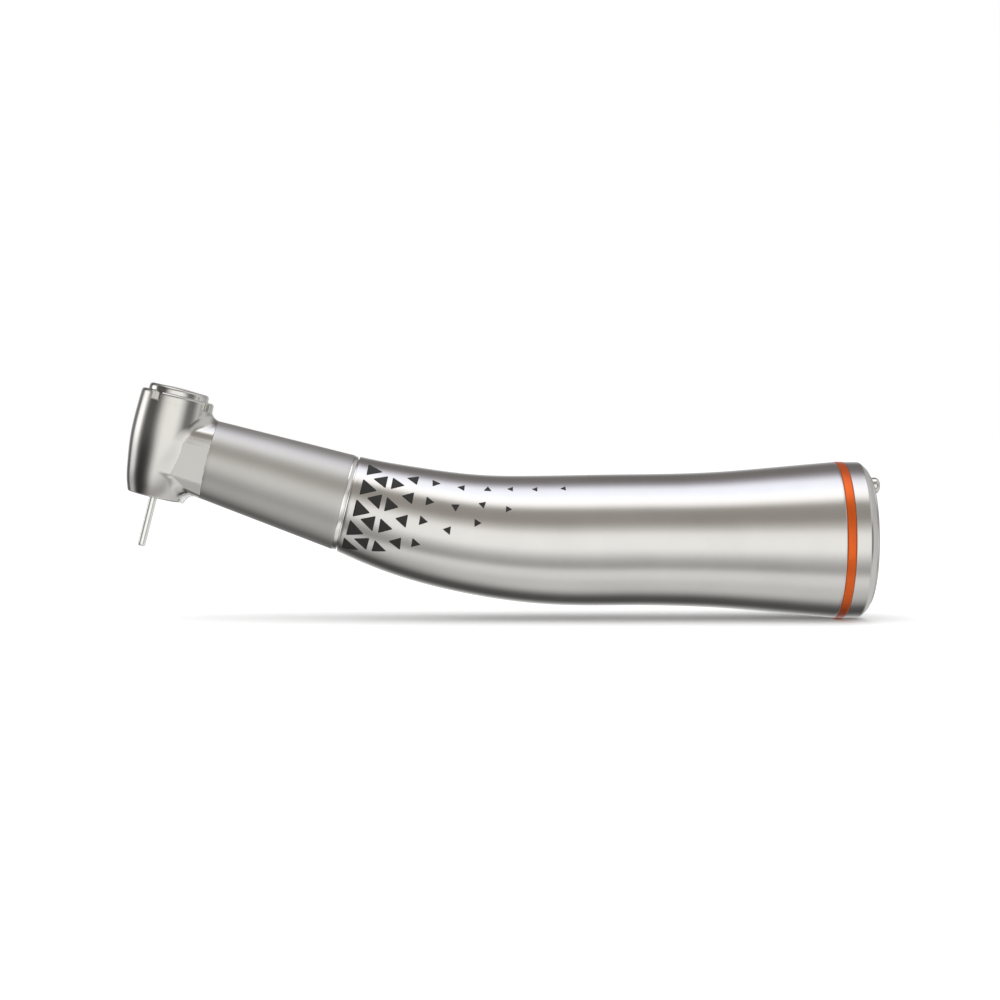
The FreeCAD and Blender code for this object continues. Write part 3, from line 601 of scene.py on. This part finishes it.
def make_handle():
    """The long bent grip, a shell that is open at both ends."""
    outer = np.linspace(HANDLE_REAR, HANDLE_FRONT, 170)
    inner = np.linspace(HANDLE_FRONT, SEAT_FRONT, 40)
    outline = [(x, 0.0) for x in outer] + [(x, SHELL_WALL) for x in inner]
    for x in (SEAT_FRONT + 0.01, HANDLE_REAR):
        outline.append((x, handle_section(x)[2] - SPIGOT_R))
    count = 192

    def ring_at(x, depth):
        centre, up, radius = handle_section(x)
        return circle(centre, up, AXIS_Y, radius - depth, count)

    return skinned("grip_shell", softened_ends(outline), ring_at, count)


def softened_ends(outline):
    """The handle's outline with its two outer edges eased."""
    ease = 0.07
    out = []
    for x, depth in outline:
        if depth == 0.0 and x > HANDLE_REAR - 1e-6:
            out += [(x, ease), (x - 0.3 * ease, 0.3 * ease), (x - ease, 0.0)]
        elif depth == 0.0 and x < HANDLE_FRONT + 1e-6:
            out += [(x + ease, 0.0), (x + 0.3 * ease, 0.3 * ease), (x, ease)]
        else:
            out.append((x, depth))
    return out


# ================================================================ triangles on the grip
COLUMNS = (
    # mm behind the seam, mm forwards per degree down, side of a triangle, and for each triangle
    # its height round the shell and the way it points, in degrees; 0 points backwards
    (1.9, 0.0075, 2.2, ((53, 2), (26, 0), (0, 0), (-25, -2), (-50, 0))),
    (3.3, 0.0082, 1.95, ((40, 180), (15, 180), (-10, 180), (-36, 178))),
    (5.0, 0.0082, 1.85, ((40, 0), (14, 0), (-10, 2), (-36, -4))),
    (7.05, 0.0092, 1.65, ((51, 176), (27, 180), (2, 180), (-23, 184))),
    (9.65, 0.018, 1.2, ((51, 6), (27, 0), (6, 0), (-18, 0))),
    (13.0, 0.022, 1.07, ((50, 180), (26, -82), (2, 180))),
    (16.2, 0.025, 1.0, ((51, 90), (32, 168), (13, 5))),
    (19.1, 0.01, 0.87, ((53, 180), (29, 0))),
    (22.2, 0.0, 0.84, ((53, 180),)),
    (25.8, 0.0, 0.8, ((54, 184),)),
)
INLAY_LIFT = 0.022
INLAY_DEPTH = 0.06


def triangle_outline(side, turn):
    """A slightly rounded triangle, as (along the grip, round the grip) offsets."""
    corners = []
    for k in range(3):
        a = math.radians(turn + 120 * k)
        corners.append((side / math.sqrt(3) * math.cos(a), side / math.sqrt(3) * math.sin(a)))
    points = []
    for k, here in enumerate(corners):
        here = np.array(here)
        back, on = np.array(corners[k - 1]) - here, np.array(corners[(k + 1) % 3]) - here
        start, end = here + back * 0.1, here + on * 0.1
        for t in np.linspace(0, 1, 5):
            points.append((1 - t) ** 2 * start + 2 * t * (1 - t) * here + t**2 * end)
        for t in (0.3, 0.5, 0.7):
            points.append(here + on * t)
    return points


def on_grip(x, angle, along, across, lift):
    """A point on the handle near a station and an angle from the side."""
    centre, up, radius = handle_section(x + along)
    a = angle + across / radius
    return centre + (radius + lift) * (math.sin(a) * up + math.cos(a) * AXIS_Y)


def make_triangles():
    """Thin dark inlays on both sides of the grip, in columns that thin out backwards."""
    verts, faces = [], []
    rings = (
        # share of the outline, height above the grip
        (1.0, -INLAY_DEPTH), (1.0, INLAY_LIFT * 0.3), (0.97, INLAY_LIFT), (0.6, INLAY_LIFT),
        (0.25, INLAY_LIFT),
    )
    for side in (-1, 1):
        for behind, step, size, column in COLUMNS:
            for height, turn in column:
                lean = step * (column[0][0] - height)
                outline = triangle_outline(size, turn)
                n, base = len(outline), len(verts)
                x, angle = HANDLE_FRONT + behind - lean, math.radians(height)
                for scale, lift in rings:
                    for along, across in outline:
                        spot = on_grip(x, angle, along * scale, across * scale, lift)
                        spot[1] *= side
                        verts.append(spot)
                for row in range(len(rings) - 1):
                    a, b = base + row * n, base + row * n + n
                    faces += [[a + i, a + (i + 1) % n, b + (i + 1) % n, b + i] for i in range(n)]
                faces.append([base + i for i in range(n)])
                faces.append([base + (len(rings) - 1) * n + i for i in range(n)])
    return recalculated(mesh_object("grip_triangles", verts, faces))


# ================================================================ rear
def make_colour_ring():
    """The orange ring."""
    outline = [
        (HANDLE_REAR, SPIGOT_R), (REAR_RING_FRONT, SPIGOT_R), (REAR_RING_FRONT, 9.5),
        (-3.1, 9.58), (-4.0, 9.58), (HANDLE_REAR, 9.5),
    ]
    return turned("speed_ring", outline, np.zeros(3), AXIS_X, AXIS_Z, count=192, soft=0.06)


def make_rear_ring():
    """The chamfered ring behind it."""
    outline = [
        (REAR_RING_FRONT, SPIGOT_R), (REAR_RING_END, SPIGOT_R), (REAR_RING_END, 8.7),
        (-0.37, 8.87), (-1.03, 9.48), (-1.25, REAR_R), (REAR_RING_FRONT, REAR_R),
    ]
    return turned("tail_ring", outline, np.zeros(3), AXIS_X, AXIS_Z, count=192, soft=0.07)


def make_pin():
    """The locating pin in the rear face."""
    low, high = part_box("locating_pin")
    centre = (low + high) / 2 / MM
    outline = [(-5.0, 0.0), (-5.0, 1.0), (1.15, 1.0), (1.45, 0.82), (1.6, 0.5), (1.6, 0.0)]
    origin = np.array((0.0, centre.y, centre.z))
    return turned("key_pin", outline, origin, AXIS_X, AXIS_Z, count=48, soft=0.08)


# ================================================================ materials
CLOUD_SCALE = 140.0     # noise scales are per metre
GRAIN_SCALE = 5200.0
LINE_SCALE = (9000.0, 60.0, 60.0)


class Nodes:
    """A node tree with short ways to add and join nodes."""

    def __init__(self, tree):
        self.tree = tree
        tree.nodes.clear()

    def add(self, kind, **values):
        """A node of a kind, with its properties, or inputs by name, set."""
        node = self.tree.nodes.new("ShaderNode" + kind)
        for key, value in values.items():
            if hasattr(node, key):
                setattr(node, key, value)
            else:
                self.feed(node.inputs[key.replace("_", " ")], value)
        return node

    def feed(self, socket, value):
        """Set a socket to a value, or join an output to it."""
        if isinstance(value, bpy.types.NodeSocket):
            self.tree.links.new(value, socket)
        elif isinstance(value, bpy.types.Node):
            self.tree.links.new(value.outputs[0], socket)
        else:
            socket.default_value = value

    def math(self, operation, *inputs):
        """A math node's output."""
        node = self.tree.nodes.new("ShaderNodeMath")
        node.operation = operation
        for socket, value in zip(node.inputs, inputs):
            self.feed(socket, value)
        return node.outputs[0]

    def clamped(self, value, gain, offset):
        """value * gain + offset, kept between 0 and 1."""
        out = self.math("MULTIPLY_ADD", value, gain, offset)
        out.node.use_clamp = True
        return out

    def ramp(self, value, stops, smooth="LINEAR"):
        """A colour ramp's output, from (position, (r, g, b)) stops."""
        node = self.tree.nodes.new("ShaderNodeValToRGB")
        ramp = node.color_ramp
        ramp.interpolation = smooth
        while len(ramp.elements) < len(stops):
            ramp.elements.new(1.0)
        for element, (position, colour) in zip(ramp.elements, stops):
            element.position = position
            element.color = (*colour, 1.0)
        self.feed(node.inputs[0], value)
        return node.outputs[0]

    def mix(self, share, a, b, blend="MIX"):
        """A colour mix's output."""
        node = self.tree.nodes.new("ShaderNodeMix")
        node.data_type = "RGBA"
        node.blend_type = blend
        self.feed(node.inputs[0], share)
        self.feed(node.inputs[6], a)
        self.feed(node.inputs[7], b)
        return node.outputs[2]


def grey(v):
    """A neutral colour."""
    return (v, v, v)


def noise(n, place, scale, detail=3.0, rough=0.5):
    """A noise texture's factor."""
    return n.add("TexNoise", Vector=place, Scale=scale, Detail=detail, Roughness=rough).outputs[0]


def new_material(name):
    """A material, its nodes and its surface shader."""
    material = bpy.data.materials.new(name)
    material.use_nodes = True
    n = Nodes(material.node_tree)
    shader = n.tree.nodes.new("ShaderNodeBsdfPrincipled")
    output = n.tree.nodes.new("ShaderNodeOutputMaterial")
    n.tree.links.new(shader.outputs[0], output.inputs[0])
    return material, n, shader


def metal(name, colour, roughness, grain=0.0, lines=0.0, tilt=0.0, metallic=1.0):
    """A metal with uneven polish, blasted grain and fine lines round its axis."""
    material, n, shader = new_material(name)
    place = n.add("TexCoord").outputs["Object"]
    clouds = noise(n, place, CLOUD_SCALE, 4.0, 0.6)
    fine = noise(n, place, GRAIN_SCALE, 2.0, 0.6)
    turn = n.add("Mapping", Vector=place, Rotation=(0.0, tilt, 0.0), Scale=LINE_SCALE)
    streaks = noise(n, turn.outputs[0], 1.0, 3.0, 0.7)
    dark = tuple(c * 0.93 for c in colour)
    tone = n.ramp(clouds, [(0.3, dark), (0.7, colour)])
    n.feed(shader.inputs["Base Color"], tone)
    shader.inputs["Metallic"].default_value = metallic
    uneven = n.math("MULTIPLY_ADD", clouds, 0.06, roughness - 0.03)
    uneven = n.math("MULTIPLY_ADD", streaks, lines * 0.08, uneven)
    n.feed(shader.inputs["Roughness"], uneven)
    relief = n.math("ADD", n.math("MULTIPLY", fine, grain), n.math("MULTIPLY", streaks, lines))
    bump = n.add("Bump", Height=relief, Strength=0.35, Distance=0.000004)
    n.feed(shader.inputs["Normal"], bump.outputs[0])
    return material


def coated(name, colour, roughness, coat=0.6, metallic=0.0):
    """A lacquered or anodised colour with slight orange peel."""
    material, n, shader = new_material(name)
    place = n.add("TexCoord").outputs["Object"]
    clouds = noise(n, place, 260.0, 3.0, 0.55)
    peel = noise(n, place, 1500.0, 2.0, 0.5)
    dark = tuple(c * 0.86 for c in colour)
    n.feed(shader.inputs["Base Color"], n.ramp(clouds, [(0.3, dark), (0.7, colour)]))
    n.feed(shader.inputs["Roughness"], n.math("MULTIPLY_ADD", peel, 0.08, roughness - 0.04))
    shader.inputs["Metallic"].default_value = metallic
    shader.inputs["Coat Weight"].default_value = coat
    shader.inputs["Coat Roughness"].default_value = 0.12
    bump = n.add("Bump", Height=peel, Strength=0.2, Distance=0.000006)
    n.feed(shader.inputs["Normal"], bump.outputs[0])
    return material


def clear(name, tint, roughness, transmission=1.0):
    """Moulded glass or clear plastic."""
    material, n, shader = new_material(name)
    place = n.add("TexCoord").outputs["Object"]
    flow = noise(n, place, 900.0, 2.0, 0.5)
    n.feed(shader.inputs["Base Color"], n.ramp(flow, [(0.3, tint), (0.7, grey(0.97))]))
    n.feed(shader.inputs["Roughness"], n.math("MULTIPLY_ADD", flow, 0.03, roughness))
    shader.inputs["Transmission Weight"].default_value = transmission
    shader.inputs["IOR"].default_value = 1.49
    return material


STEEL = (0.74, 0.725, 0.70)
MATERIALS = {
    "satin_head": metal("satin_head_steel", STEEL, 0.2, grain=0.5),
    "satin_handle": metal("satin_handle_steel", (0.76, 0.75, 0.735), 0.22, grain=0.6),
    "satin_neck": metal("satin_neck_steel", (0.70, 0.69, 0.67), 0.41, grain=0.5, lines=0.5,
                        tilt=TILT),
    "bright_ring": metal("bright_ring_steel", (0.96, 0.955, 0.94), 0.12, lines=0.3, tilt=TILT),
    "polished_steel": metal("polished_cap_steel", (0.78, 0.77, 0.75), 0.13, lines=0.25),
    "inner_steel": metal("machined_inner_steel", (0.62, 0.61, 0.59), 0.26, lines=0.6),
    "bearing_steel": metal("ground_bearing_steel", (0.66, 0.65, 0.63), 0.16, lines=0.4),
    "bearing_balls": metal("ceramic_ball_grey", (0.32, 0.32, 0.34), 0.18, grain=0.1),
    "gear_steel": metal("gear_tooth_steel", (0.5, 0.49, 0.47), 0.26, lines=0.7),
    "spring_steel": metal("spring_wire_steel", (0.46, 0.46, 0.48), 0.22, lines=0.3),
    "orange_ring": coated("orange_ring_enamel", (0.76, 0.118, 0.010), 0.3, coat=0.1, metallic=0.65),
    "seal_rubber": coated("black_seal_rubber", (0.02, 0.02, 0.021), 0.55, coat=0.0),
    "clear_lens": clear("clear_lens_plastic", (0.93, 0.95, 0.95), 0.3, transmission=0.4),
    "glass_rod": clear("glass_rod_fibre", (0.85, 0.9, 0.92), 0.08),
}
BUR_STEEL = metal("bur_shank_steel", (0.97, 0.97, 0.95), 0.2, lines=0.2, tilt=TILT, metallic=0.8)
FLAT_STEEL = metal("satin_flat_steel", (0.6, 0.595, 0.575), 0.3, grain=0.5)
INK = coated("triangle_ink", (0.016, 0.0155, 0.0145), 0.55, coat=0.0)


def paint_cad_nodes():
    """Give every CAD node its finished material."""
    slots = {s["node"]: s["material_slot"] for s in frame["record"]["subparts"]}
    for node, obj in frame["nodes"].items():
        for holder in obj.material_slots:
            holder.material = MATERIALS[slots[node]]


def finish_piece(piece, body, slot, *nodes, material=None):
    """Material, body, slot and the CAD nodes that a piece stands for."""
    if not piece.data.materials:
        piece.data.materials.append(material or MATERIALS[slot])
    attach(piece, body)
    if nodes:
        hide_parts(*nodes)


def build_pieces():
    """Every visible piece of the handpiece."""
    finish_piece(make_casting(), "handpiece", "satin_head", "head_housing")
    finish_piece(make_cap(), "handpiece", "polished_steel", "head_cap_ring")
    finish_piece(make_button(), "button", "polished_steel", "push_button")
    finish_piece(make_lens(), "handpiece", "clear_lens", "light_lens")
    finish_piece(make_bur(), "bur_blank", "polished_steel", "bur", material=BUR_STEEL)
    finish_piece(make_neck(), "handpiece", "satin_neck", "neck_sleeve")
    finish_piece(make_seam(), "handpiece", "bright_ring", "seam_ring")
    finish_piece(make_handle(), "handpiece", "satin_handle", "handle_shell")
    finish_piece(make_triangles(), "handpiece", "satin_handle", material=INK)
    finish_piece(make_colour_ring(), "handpiece", "orange_ring", "colour_ring")
    finish_piece(make_rear_ring(), "handpiece", "satin_handle", "rear_ring")
    finish_piece(make_pin(), "handpiece", "polished_steel", "locating_pin")


# ================================================================ studio
# what the metal reflects, by height from straight down (0) to straight up (1)
FRONT_BANDS = (
    (0.0, (0.74, 0.73, 0.71)), (0.12, (0.88, 0.87, 0.85)), (0.2, (0.88, 0.87, 0.85)),
    (0.24, (0.44, 0.43, 0.42)), (0.275, (0.43, 0.42, 0.41)), (0.32, (0.57, 0.56, 0.54)),
    (0.345, (0.7, 0.69, 0.67)), (0.42, (1.12, 1.12, 1.09)), (0.56, (1.12, 1.1, 1.07)),
    (0.62, (0.62, 0.6, 0.57)), (0.68, (0.34, 0.32, 0.285)), (0.812, (0.34, 0.32, 0.29)),
    (0.872, (1.5, 1.47, 1.43)), (0.93, (1.7, 1.72, 1.75)), (1.0, (1.25, 1.31, 1.45)),
)
BACK_BANDS = (
    (0.0, (0.74, 0.73, 0.71)), (0.05, (0.52, 0.51, 0.5)), (0.1, (0.2, 0.2, 0.195)),
    (0.15, (0.1, 0.1, 0.098)), (0.23, (0.07, 0.07, 0.068)), (0.28, (0.14, 0.14, 0.14)),
    (0.34, (0.45, 0.45, 0.44)), (0.4, (0.85, 0.85, 0.84)), (0.56, (0.7, 0.7, 0.7)),
    (0.66, (0.2, 0.19, 0.185)), (0.8, (0.2, 0.185, 0.18)), (0.86, (0.42, 0.4, 0.44)),
    (0.93, (1.0, 1.0, 1.16)), (1.0, (1.25, 1.31, 1.45)),
)
# how bright it is round the horizon: from behind (0) by the left, front (0.5) and right
ROUND = (
    (0.0, 1.0), (0.08, 0.6), (0.12, 0.15), (0.15, 0.35), (0.17, 2.4), (0.22, 2.4),
    (0.245, 0.8), (0.265, 0.25), (0.29, 0.12), (0.35, 0.12), (0.385, 0.3), (0.42, 0.8),
    (0.46, 1.0), (0.55, 1.0), (0.59, 0.6), (0.62, 0.17), (0.67, 0.14), (0.7, 0.35),
    (0.73, 0.75), (0.8, 0.75), (0.86, 0.5), (0.93, 0.7), (1.0, 1.0),
)


WHITE = (1.0, 1.0, 1.0, 1.0)
DIFFUSE_WHITE = (1.22, 1.22, 1.22, 1.0)
WALL_WHITE = (0.85, 0.85, 0.84, 1.0)
WALL_SHARE = 0.7
LOW_LEFT = ((0.48, grey(0.25)), (0.57, grey(1.0)))


def horizon(n, x, y, z, height):
    """How bright it is round the horizon, fading to even brightness overhead and below."""
    around = n.math("DIVIDE", n.math("ARCTAN2", x, n.math("MULTIPLY", y, -1.0)), 2 * math.pi)
    around = n.math("ADD", around, 0.5)
    ring = n.ramp(around, [(p, grey(v)) for p, v in ROUND])
    leftwards = n.clamped(x, -1.6, -0.5)
    low_left = n.mix(leftwards, WHITE, n.ramp(height, LOW_LEFT))
    ring = n.mix(1.0, ring, low_left, "MULTIPLY")
    steep = n.clamped(n.math("ABSOLUTE", z), 2.6, -1.15)
    return n.mix(steep, ring, WHITE)


def studio_colour(n):
    """What the metal reflects: the bands, the horizon and a soft wall at the right."""
    direction = n.add("SeparateXYZ", Vector=n.add("TexCoord").outputs["Generated"])
    x, y, z = direction.outputs
    height = n.math("ADD", n.math("DIVIDE", n.math("ARCSINE", z), math.pi), 0.5)
    to_back = n.clamped(y, 1.2, 0.5)
    bands = n.mix(to_back, n.ramp(height, FRONT_BANDS), n.ramp(height, BACK_BANDS))
    studio = n.mix(1.0, bands, horizon(n, x, y, z, height), "MULTIPLY")
    rightwards = n.clamped(x, 3.2, -0.9)
    sloping = n.clamped(n.math("ABSOLUTE", z), 5.0, -1.1)
    wall = n.math("MULTIPLY", n.math("MULTIPLY", rightwards, sloping), WALL_SHARE)
    return n.mix(wall, studio, WALL_WHITE)


def make_world():
    """A studio of soft bands for the metal, plain white for the camera and for dull surfaces."""
    world = bpy.data.worlds.new("studio")
    bpy.context.scene.world = world
    world.use_nodes = True
    n = Nodes(world.node_tree)
    rays = n.add("LightPath")
    plain = n.mix(rays.outputs["Is Diffuse Ray"], studio_colour(n), DIFFUSE_WHITE)
    seen = n.math("MAXIMUM", rays.outputs["Is Camera Ray"], rays.outputs["Is Transmission Ray"])
    sky = n.mix(seen, plain, WHITE)
    background = n.add("Background", Color=sky)
    output = n.add("OutputWorld")
    n.feed(output.inputs[0], background.outputs[0])


FLOOR_REACH = 6.0       # metres
FLOOR_GAP = 0.00005


def make_floor():
    """A plain white floor under the lowest point."""
    mesh = bpy.data.meshes.new("floor")
    z = cad_box[0].z - FLOOR_GAP
    signs = ((-1, -1), (1, -1), (1, 1), (-1, 1))
    corners = [(x * FLOOR_REACH, y * FLOOR_REACH, z) for x, y in signs]
    mesh.from_pydata(corners, [], [(0, 1, 2, 3)])
    floor = bpy.data.objects.new("floor", mesh)
    bpy.context.scene.collection.objects.link(floor)
    material, n, shader = new_material("floor_white")
    place = n.add("TexCoord").outputs["Object"]
    n.feed(shader.inputs["Base Color"],
           n.ramp(noise(n, place, 6.0), [(0.3, grey(0.9)), (0.7, grey(0.92))]))
    shader.inputs["Roughness"].default_value = 0.9
    shader.inputs["Specular IOR Level"].default_value = 0.0
    mesh.materials.append(material)
    floor.visible_glossy = False


LAMP_SIZE = (0.5, 0.3)  # metres
LAMP_WATTS = 0.35
LAMP_PLACE = (-0.05, -0.05, 0.35)
LAMP_LEAN = -8.0


def make_light():
    """One large soft lamp above, for the shadow on the floor."""
    data = bpy.data.lights.new("softbox", "AREA")
    data.shape = "RECTANGLE"
    data.size, data.size_y = LAMP_SIZE
    data.energy = LAMP_WATTS
    lamp = bpy.data.objects.new("softbox", data)
    bpy.context.scene.collection.objects.link(lamp)
    lamp.location = LAMP_PLACE
    lamp.rotation_euler = (math.radians(LAMP_LEAN), 0.0, 0.0)
    lamp.visible_glossy = False


# camera: where it looks on the middle plane, how far off, and its turns in degrees
AIM = (-45.04, 0.0, 4.84)
DISTANCE = 271.0
YAW = 2.2
RAISE = 1.5
ROLL = 0.12
LENS_MM = 79.9
SENSOR_MM = 36.0


def make_camera():
    """The camera at the side, a little on the head's side and a little above."""
    data = bpy.data.cameras.new("camera")
    data.lens = LENS_MM
    data.sensor_width = SENSOR_MM
    camera = bpy.data.objects.new("camera", data)
    bpy.context.scene.collection.objects.link(camera)
    yaw, up = math.radians(YAW), math.radians(RAISE)
    back = Vector((-math.sin(yaw) * math.cos(up), -math.cos(yaw) * math.cos(up), math.sin(up)))
    camera.location = (Vector(AIM) + back * DISTANCE) * MM
    camera.rotation_mode = "QUATERNION"
    level = (-back).to_track_quat("-Z", "Y")
    camera.rotation_quaternion = level @ Quaternion((0.0, 0.0, 1.0), math.radians(ROLL))
    data.clip_start, data.clip_end = 0.01, 50.0
    bpy.context.scene.camera = camera


paint_cad_nodes()
build_pieces()
make_world()
make_floor()
make_light()
make_camera()
bpy.context.scene.view_settings.view_transform = "Standard"
